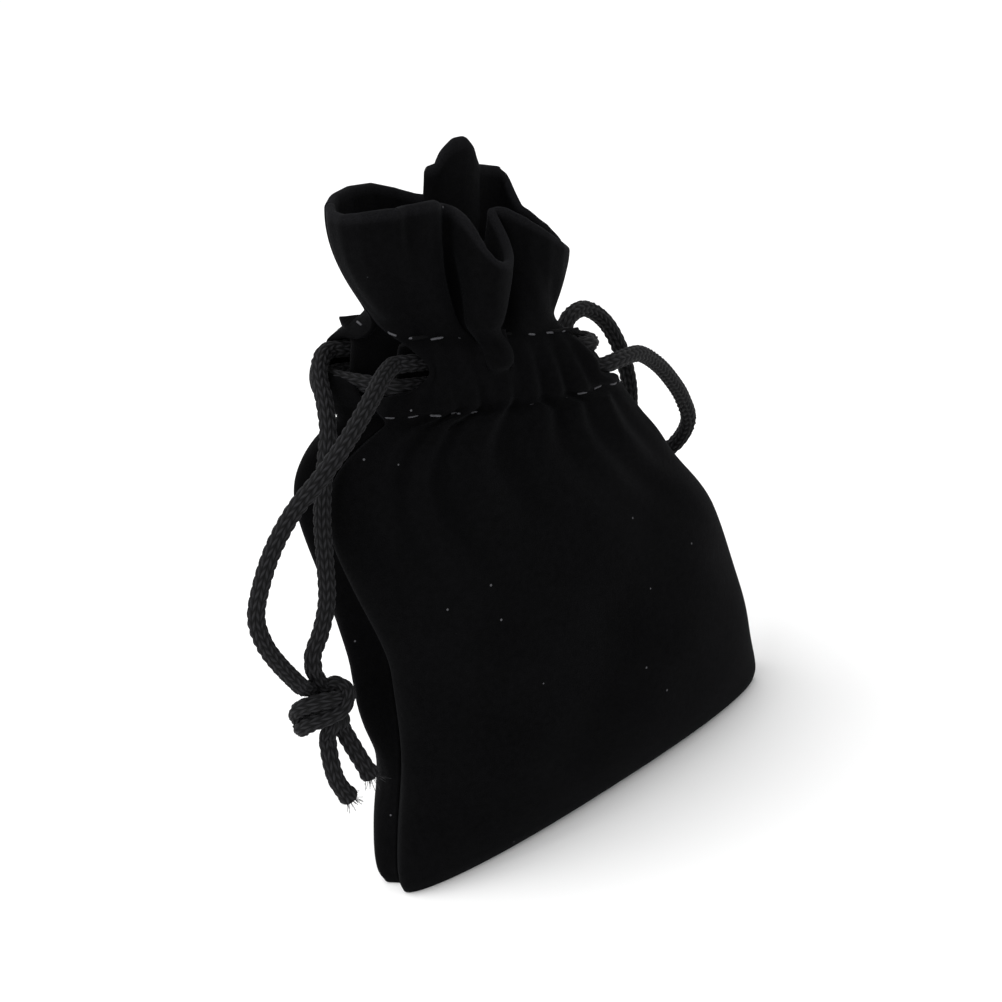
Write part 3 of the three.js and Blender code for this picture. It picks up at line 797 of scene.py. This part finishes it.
def casing_end(side, hand, level, sweep):
    """Where the cloth goes on past a casing's face: round to the side seam as sweep goes 0 to 90 deg."""
    along = CASING_ENDS[side, hand]
    end_x = casing_x(side, along, level)
    end_depth = casing_depth(along, level)
    seam_x = mix(*SEAM_X[hand], (1 + level) / 2)
    bulge = mix(*END_BULGE[side, hand], ((1 + level) / 2) ** 2)
    if (side, hand) == (1, -1):
        seam_x -= LEFT_HUMP * (1 - level * level)
    seam_depth = SEAM_SLIT + (side * LEFT_SEAM_Y * (1 - level) / 2 if hand < 0 else 0)
    x = end_x + (seam_x - end_x) * np.sin(sweep) + hand * bulge * np.sin(2 * sweep)
    return np.stack([x, mix(seam_depth, end_depth, np.cos(sweep))], -1)


def casing_depth(along, level):
    bulge = 0.7 * (1 - level * level) + 0.5 * (1 - level)
    return NECK_DEPTH - NECK_ROUNDING * along * along + CHANNEL_DEPTH / 2 + CHANNEL_PLY + bulge


def casing_row(side, tau, level):
    """One row over a channel, with a slot at each end where the cloth curls in round the cord."""
    share = np.clip((tau - END_ZONE) / (1 - 2 * END_ZONE), 0, 1)
    along = mix(CASING_ENDS[side, -1], CASING_ENDS[side, 1], share)
    place = np.stack([casing_x(side, along, level), casing_depth(along, level)], 1)
    for hand, turn in ((-1, 1 - tau / END_ZONE), (1, 1 - (1 - tau) / END_ZONE)):
        slot, slot_half, widest = SLOTS[side, hand]
        opening = widest * math.sqrt(max(0.0, 1 - ((level - slot) / slot_half) ** 2))
        reach = 1 - opening
        kept = mix(0.12, 1, reach)
        sweep = np.minimum(turn / kept, 1) * reach * np.pi / 2
        ahead = casing_end(side, hand, level, sweep + 0.01) - casing_end(side, hand, level, sweep)
        ahead /= np.linalg.norm(ahead, axis=1)[:, None]
        out = hand * np.stack([-ahead[:, 1], ahead[:, 0]], 1)
        curl = np.clip((turn - kept) / max(1 - kept, 1e-6), 0, 1)
        angle = np.pi * np.minimum(curl / 0.5, 1)
        radius = 0.65 * ease(opening, 0, 0.5)
        tuck = np.maximum(curl - 0.5, 0) / 0.5 * 3 * opening
        end = casing_end(side, hand, level, sweep)
        end += out * (radius * (np.cos(angle) - 1))[:, None]
        end += ahead * (radius * np.sin(angle) - tuck)[:, None]
        place = np.where((turn > 0)[:, None], end, place)
    z = level * (CHANNEL_HEIGHT / 2 - STITCH_SLANT * place[:, 0])
    return at_neck(np.stack([place[:, 0], side * place[:, 1], z], 1))


def tongue_share(t):
    """The columns of the front pleat, whose rounded end hangs over the upper stitches."""
    return np.exp(-(((t - 0.545) / 0.085) ** 4))


def frill_rows(side, t, tau):
    rim_table = np.array(FRONT_RIM if side < 0 else BACK_RIM)
    control = from_neck(rim_table[:, 1:])
    dense = np.linspace(0, 1, 1201)
    rim = np.stack([
        np.interp(t, dense, smooth_steps(np.interp(dense, rim_table[:, 0], control[:, k]), 120))
        for k in range(3)
    ], 1)
    across = -NECK_HALF * rounded(np.cos(np.pi * tau))
    foot_x = across - NECK_SHIFT * (1 - 0.9 * (side < 0) * np.sin(np.pi * tau) ** 2)
    foot_y = side * (SEAM_SLIT + FRILL_DEPTH * rounded(np.sin(np.pi * tau)))
    foot = np.stack([foot_x, foot_y, FRILL_FOOT - STITCH_SLANT * foot_x], 1)
    rows = []
    hung = 0.72 * tongue_share(t) * (side < 0)
    for rise in np.linspace(0, 1, FRILL_ROWS + 1)[1:]:
        sideways = mix(math.sin(rise * math.pi / 2) ** 0.92, 1, hung)
        local = np.stack([
            mix(foot[:, 0], rim[:, 0], sideways),
            mix(foot[:, 1], rim[:, 1], sideways),
            mix(foot[:, 2], rim[:, 2], rise),
        ], 1)
        rows.append(at_neck(local))
    pull = np.stack([rim[:, 0] - foot[:, 0], rim[:, 1] - foot[:, 1], -0.5 + 0 * t], 1) * hung[:, None]
    return rows, at_neck(foot), pull @ NECK_AXES


def outward(grid, side):
    """Unit normals of a grid of points, away from the bag's middle line."""
    up, right = np.gradient(grid, axis=0), np.gradient(grid, axis=1)
    normal = np.cross(right, up) * -side
    normal /= np.maximum(np.linalg.norm(normal, axis=2, keepdims=True), 1e-9)
    normal[grid[..., 2] < 0.01] = (0, 0, -1)
    return normal


def folds(side, tau, height_below, settings):
    """Soft gathers that fan out below the casing."""
    lift = np.zeros_like(tau)
    for place, height, width, reach in FRONT_FOLDS if side < 0 else BACK_FOLDS:
        spread = width * (1 + height_below / 40)
        ridge = bump(tau, place, spread)
        hollow = bump(tau - place, 1.9 * spread, spread)
        lift += height * (ridge - 0.55 * hollow) * math.exp(-((height_below / reach) ** 1.6))
    return lift * settings.fold_height


def waviness(side, x, z):
    """Broad unevenness of stuffed cloth."""
    phase = 1.3 if side < 0 else 4.1
    return (
        0.35 * np.sin(x * 0.11 + phase) * np.sin(z * 0.09 + 2 * phase)
        + 0.22 * np.sin(x * 0.21 - z * 0.13 + phase)
        + 0.1 * np.sin(x * 0.43 + z * 0.31 - phase)
    )


def cloth_grid(side, settings):
    """The outer face of one half: points, then the cloth's thickness and marks at each of them."""
    t = np.linspace(0, 1, COLUMNS)
    tau = width_share(side, t)
    lower = body_rows(side, tau)
    levels = np.linspace(-1, 1, CASING_ROWS + 1)
    middle = [casing_row(side, tau, level) for level in levels]
    upper, foot, pull = frill_rows(side, t, tau)
    rows = [*lower, *middle, foot, *upper]
    grid = np.array(rows)
    count = len(rows)
    first_casing, first_frill = len(lower), len(lower) + len(middle)
    seams = slice(first_casing - 4, first_frill + 3)
    grid[seams] = smooth_steps(grid, 1)[seams]
    normal = outward(grid, side)
    lift, hanging = np.zeros((count, COLUMNS)), np.zeros(count)
    hanging[first_frill] = 1
    inner_share = ease(tau, 0.02, 0.12) * ease(1 - tau, 0.02, 0.12)  # relief fades at the seams
    for j in range(BASE_ROWS, first_casing):
        height = np.mean(grid[j, :, 2])
        below = grid[first_casing, :, 2].mean() - height
        share = ease(height, 3, 22)
        lift[j] = folds(side, tau, below, settings) * inner_share
        lift[j] += waviness(side, grid[j, :, 0], grid[j, :, 2]) * share * inner_share
    for k, level in enumerate(levels):
        j = first_casing + k
        puff = 0.28 * np.sin(tau * 71 + 1.4 * side) * (1 - level * level)
        seam = -0.55 * (math.exp(-(((level + 1) / 0.14) ** 2)) + math.exp(-(((level - 1) / 0.14) ** 2)))
        body_fold = folds(side, tau, 0.0, settings) * (1 - ease(level, -1, 0.6)) * 0.8
        lift[j] = (puff + seam + body_fold) * inner_share
        hanging[j] = (1 - min(1.0, (1 - level) / 0.85) ** 5) ** 0.5
    for k in range(count - first_frill):
        j = first_frill + k
        rise = k / FRILL_ROWS
        for height, place, width, strongest in FRONT_PLEATS if side < 0 else ():
            share = rise if strongest == "rim" else 1 - ease(rise, 0.5, 1)
            lift[j] += height * bump(t, place, width) * share
        lift[j] += 0.5 * np.sin(t * 29 + 2 * side) * math.sin(math.pi * min(rise * 1.6, 1)) * inner_share
    overhang = smooth_steps(pull * hanging[:, None, None], 3)
    overhang[first_frill + 1:] = 0
    grid = grid + normal * lift[..., None] + overhang
    neck = slice(first_frill - 4, first_frill + 5)
    grid[neck] = smooth_steps(grid[neck], 3)
    cloth, ply = settings.body_cloth / MM, settings.channel_cloth / MM
    thick = np.full((count, COLUMNS), cloth)
    turned = (tau < END_ZONE) | (tau > 1 - END_ZONE)
    for k, level in enumerate(levels):
        thick[first_casing + k] = np.where(turned, TURNED_PLY, ply)
    thick[:] = smooth_steps(thick, 4)
    rise = np.concatenate([np.zeros(first_frill), np.linspace(0, 1, count - first_frill)])
    # painted highlight along the frill's rim: 1 on the rim, fading out over the last rows
    rim_highlight = ease(rise, 0.93, 1.0)[:, None] * np.ones(COLUMNS)
    # painted shade mask: how deep a point lies in a fold's hollow
    crease_shade = np.clip(-lift / 1.2, 0, 1)
    return grid, thick, rim_highlight, crease_shade, (first_casing, first_frill - 1)


def shell_piece(name, grid, side, thick, rim_highlight, crease_shade):
    """A sheet with thickness, an inner face, closed borders and a rounded rim along its last row."""
    rows, columns = grid.shape[:2]
    normal = outward(grid, side)
    inner = grid - normal * thick[..., None]
    onward = grid[-1] - grid[-2]
    onward /= np.linalg.norm(onward, axis=1)[:, None]
    layers = [grid]
    for k in range(1, RIM_ROUNDS):
        angle = math.pi * k / RIM_ROUNDS
        middle = (grid[-1] + inner[-1]) / 2
        radius = thick[-1][:, None] / 2
        layers.append((middle + radius * (normal[-1] * math.cos(angle) + onward * math.sin(angle)))[None])
    layers.append(inner[::-1])
    points = np.concatenate(layers)
    total = len(points)
    faces = grid_faces(total, columns).tolist()
    for j in range(rows - 1):
        for i in (0, columns - 1):
            low, high = j * columns + i, (j + 1) * columns + i
            back_high, back_low = (total - 2 - j) * columns + i, (total - 1 - j) * columns + i
            faces.append([low, high, back_high, back_low])
    for i in (0, columns - 1):
        faces.append([(rows - 1 + k) * columns + i for k in range(RIM_ROUNDS + 1)])
    for i in range(columns - 1):
        faces.append([i, i + 1, (total - 1) * columns + i + 1, (total - 1) * columns + i])
    ones = np.ones((RIM_ROUNDS - 1, columns))
    marks = {
        # painted highlight on the rim and its rounded layers
        "rim_highlight": np.concatenate([rim_highlight, ones, rim_highlight[::-1]]).ravel(),
        # painted shade in the fold hollows, none on the rim
        "crease_shade": np.concatenate([crease_shade, ones * 0, crease_shade[::-1]]).ravel(),
    }
    return piece(name, points.reshape(-1, 3), faces, marks)


class DICEBAG_OT_cloth(bpy.types.Operator):
    """Shape the front and back halves of the velvet: body, casing and frill in one sheet each"""

    bl_idname = "object.dicebag_cloth"
    bl_label = "Velvet halves"

    def execute(self, context):
        settings = context.scene.dicebag_cloth
        velvet = shared("black_velvet", velvet_material, settings)
        for half, side in (("front", -1), ("back", 1)):
            grid, thick, rim_highlight, crease_shade, _ = cloth_grid(side, settings)
            cloth = shell_piece(f"{half}_velvet", grid, side, thick, rim_highlight, crease_shade)
            finished(cloth, velvet, "velvet", f"{half}_panel", f"{half}_casing", f"{half}_frill")
            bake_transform(cloth)
        return {"FINISHED"}


class DICEBAG_OT_linings(bpy.types.Operator):
    """Line the two cord channels and finish the seam allowances inside the bag"""

    bl_idname = "object.dicebag_linings"
    bl_label = "Channel linings"

    def execute(self, context):
        lining = shared("woven_lining", lining_material)
        along = np.linspace(-1, 1, 61)
        for half, side in (("front", -1), ("back", 1)):
            rows = []
            for level in np.linspace(-1, 1, 17):
                x = casing_x(side, along, level)
                middle = NECK_DEPTH - NECK_ROUNDING * along * along
                drawn = CHANNEL_DEPTH / 2 * mix(-1, 0.9, ease(abs(level), 0.55, 1))
                depth = middle + drawn + 0.12 * np.sin(along * 23 + side)
                z = level * (CHANNEL_HEIGHT / 2 - STITCH_SLANT * x)
                rows.append(at_neck(np.stack([x, side * depth, z], 1)))
            grid = np.array(rows)
            shape = grid.shape[:2]
            strip = shell_piece(f"{half}_channel_lining", grid, side, np.full(shape, 0.6),
                                np.zeros(shape), np.zeros(shape))
            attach(finished(strip, lining, "velvet"), "bag")
        for name in ("left_seam_allowance", "right_seam_allowance", "bottom_seam_allowance"):
            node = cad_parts[name]
            node.data.materials.clear()
            node.data.materials.append(lining)
        return {"FINISHED"}


# ---- Stitches ---------------------------------------------------------------------------------
SUNK = (0.0, 0.05, 0.16, 0.3, 0.36)  # how deep a stitch may lie in the pile
UNDER_TONGUE = (0.4, 0.72)  # the stretch of the front's upper stitches that the pleat covers


def modelled_dash(settings):
    """One stitch as a straight rounded length of thread along Z, from -0.5 to 0.5."""
    bpy.ops.object.select_all(action="DESELECT")
    bpy.ops.mesh.primitive_cylinder_add(vertices=8, radius=1.0, depth=1.0, location=(0, 0, 0))
    dash = bpy.context.object
    bpy.ops.object.mode_set(mode="EDIT")
    bpy.ops.mesh.select_mode(type="FACE")
    for place in (-0.35, -0.2, 0.0, 0.2, 0.35):
        bpy.ops.mesh.select_all(action="SELECT")
        bpy.ops.mesh.bisect(plane_co=(0, 0, place), plane_no=(0, 0, 1))
    bpy.ops.object.mode_set(mode="OBJECT")
    for face in dash.data.polygons:
        face.select = abs(face.normal.z) > 0.9
    bpy.ops.object.mode_set(mode="EDIT")
    bpy.ops.mesh.inset(thickness=0.35)
    bpy.ops.mesh.inset(thickness=0.35)
    bpy.ops.object.mode_set(mode="OBJECT")
    points = np.array([vertex.co for vertex in dash.data.vertices])
    faces = [list(face.vertices) for face in dash.data.polygons]
    bpy.data.objects.remove(dash)
    points[:, :2] *= settings.thickness / MM / 2
    return points, faces


def seam_row(name, grid, row, side, settings, span, skip):
    """Dashes of thread that lie on the cloth along one row of its grid and dive in at their ends."""
    shape, shape_faces = modelled_dash(settings)
    line, normal = grid[row], outward(grid, side)[row]
    run = np.concatenate([[0], np.cumsum(np.linalg.norm(np.diff(line, axis=0), axis=1))])
    t = np.linspace(0, 1, COLUMNS)
    tau = width_share(side, t)
    start, finish = (np.interp(share, tau, run) for share in span)
    dash, pitch = settings.dash / MM, (settings.dash + settings.gap) / MM
    dice = random.Random(name)
    points, faces = [], []
    place = start
    while place + dash < finish:
        middle = place + dash / 2
        sunk = dice.choice(SUNK)
        share = np.interp(middle, run, t)
        if not any(low < share < high for low, high in skip):
            length = dash * dice.uniform(0.7, 1.05)
            drift = dice.uniform(-0.3, 0.3)
            at = middle + shape[:, 2] * length
            centre = np.stack([np.interp(at, run, line[:, k]) for k in range(3)], 1)
            out = np.stack([np.interp(at, run, normal[:, k]) for k in range(3)], 1)
            ahead = np.stack([np.interp(at + 0.3, run, line[:, k]) for k in range(3)], 1) - centre
            ahead /= np.maximum(np.linalg.norm(ahead, axis=1), 1e-9)[:, None]
            across = np.cross(out, ahead)
            lift = 0.12 - sunk - 0.55 * np.abs(2 * shape[:, 2]) ** 4
            made = centre + out * (lift + shape[:, 0])[:, None]
            made += across * (shape[:, 1] + drift * 2 * shape[:, 2])[:, None]
            faces.extend([[corner + len(points) * len(shape) for corner in face] for face in shape_faces])
            points.append(made)
        place += pitch
    return piece(name, np.vstack(points), faces)


class DICEBAG_OT_stitches(bpy.types.Operator):
    """Sew the two rows of stitches along each casing"""

    bl_idname = "object.dicebag_stitches"
    bl_label = "Stitches"

    def execute(self, context):
        cloth, thread = context.scene.dicebag_cloth, context.scene.dicebag_thread
        colour = shared("sewing_thread", thread_material)
        for half, side in (("front", -1), ("back", 1)):
            grid, _, _, _, seams = cloth_grid(side, cloth)
            skip = [UNDER_TONGUE] if side < 0 else []
            rows = {"lower": (seams[0], (0.05, 0.95), []), "upper": (seams[1], (0.04, 0.96), skip)}
            for level, (row, span, skip) in rows.items():
                sewn = seam_row(f"{half}_{level}_thread", grid, row, side, thread, span, skip)
                finished(sewn, colour, "thread", f"{half}_{level}_stitches")
                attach(sewn, "bag")
        return {"FINISHED"}


# ---- Studio -----------------------------------------------------------------------------------
CAMERA_ROLL = math.radians(-12.71)
CAMERA_LENS = 93.02
CAMERA_SHIFT = (-0.00503, 0.01307)
CAMERA_TARGET = (-0.0025, 0, 0.055)


def add_light(name, place, target, size, power):
    light = bpy.data.lights.new(name, "AREA")
    light.shape, light.size, light.energy = "DISK", size, power
    made = bpy.data.objects.new(name, light)
    made.location = place
    made.rotation_euler = (Vector(target) - Vector(place)).to_track_quat("-Z", "Y").to_euler()
    bpy.context.scene.collection.objects.link(made)


class DICEBAG_OT_studio(bpy.types.Operator):
    """Set up the camera, the pale floor and the soft lights"""

    bl_idname = "object.dicebag_studio"
    bl_label = "Studio"

    def execute(self, context):
        settings = context.scene.dicebag_studio
        self.add_camera(context, settings)
        bpy.ops.object.select_all(action="DESELECT")
        bpy.ops.mesh.primitive_plane_add(size=8, location=(0, 0, -0.0002))
        floor = context.object
        floor.name = "studio_floor"
        floor.data.materials.append(floor_material(settings.floor_colour))
        world = context.scene.world or bpy.data.worlds.new("studio")
        context.scene.world = world
        world.use_nodes = True
        ground = next(node for node in world.node_tree.nodes if node.type == "BACKGROUND")
        ground.inputs["Color"].default_value = (1, 1, 1, 1)
        ground.inputs["Strength"].default_value = settings.surround
        add_light("overhead_softbox", (-0.35, 0.25, 0.8), (0, 0, 0.05), 0.8, 4.0)
        add_light("side_softbox", (-0.7, -0.35, 0.45), (0, 0, 0.06), 0.5, 2.0)
        context.scene.view_settings.view_transform = "Standard"
        return {"FINISHED"}

    def add_camera(self, context, settings):
        turn, rise, roll = settings.azimuth, settings.elevation, CAMERA_ROLL
        back = Vector((math.sin(turn) * math.cos(rise), -math.cos(turn) * math.cos(rise), math.sin(rise)))
        right = (-back).cross(Vector((0, 0, 1))).normalized()
        up = right.cross(-back)
        turned_right = right * math.cos(roll) + up * math.sin(roll)
        turned_up = up * math.cos(roll) - right * math.sin(roll)
        camera = bpy.data.objects.new("camera", bpy.data.cameras.new("camera"))
        camera.data.sensor_width, camera.data.lens = 36.0, CAMERA_LENS
        camera.data.shift_x, camera.data.shift_y = CAMERA_SHIFT
        camera.data.clip_start, camera.data.clip_end = 0.01, 50
        turning = Matrix((turned_right, turned_up, back)).transposed().to_4x4()
        target = Vector(CAMERA_TARGET)
        camera.matrix_world = Matrix.Translation(target + back * settings.distance) @ turning
        context.scene.collection.objects.link(camera)
        context.scene.camera = camera


class DICEBAG_PT_panel(bpy.types.Panel):
    """The bag's pieces in the 3D view's sidebar"""

    bl_idname = "DICEBAG_PT_panel"
    bl_label = "Dice bag"
    bl_space_type = "VIEW_3D"
    bl_region_type = "UI"
    bl_category = "Dice bag"

    def draw(self, context):
        for operator in OPERATORS:
            self.layout.operator(operator.bl_idname)
        for group, name in SETTINGS:
            box = self.layout.box()
            for key in group.__annotations__:
                box.prop(getattr(context.scene, name), key)


SETTINGS = (
    (StudioSettings, "dicebag_studio"),
    (CordSettings, "dicebag_cord"),
    (ClothSettings, "dicebag_cloth"),
    (ThreadSettings, "dicebag_thread"),
)
OPERATORS = (
    DICEBAG_OT_studio,
    DICEBAG_OT_cords,
    DICEBAG_OT_cloth,
    DICEBAG_OT_linings,
    DICEBAG_OT_stitches,
)


def register():
    for group, name in SETTINGS:
        bpy.utils.register_class(group)
        setattr(bpy.types.Scene, name, bpy.props.PointerProperty(type=group))
    for item in (*OPERATORS, DICEBAG_PT_panel):
        bpy.utils.register_class(item)


def unregister():
    for item in (DICEBAG_PT_panel, *reversed(OPERATORS)):
        bpy.utils.unregister_class(item)
    for group, name in reversed(SETTINGS):
        delattr(bpy.types.Scene, name)
        bpy.utils.unregister_class(group)


def main():
    register()
    bpy.ops.object.dicebag_studio()
    bpy.ops.object.dicebag_cords()
    bpy.ops.object.dicebag_cloth()
    bpy.ops.object.dicebag_linings()
    bpy.ops.object.dicebag_stitches()


if __name__ == "__main__":
    main()
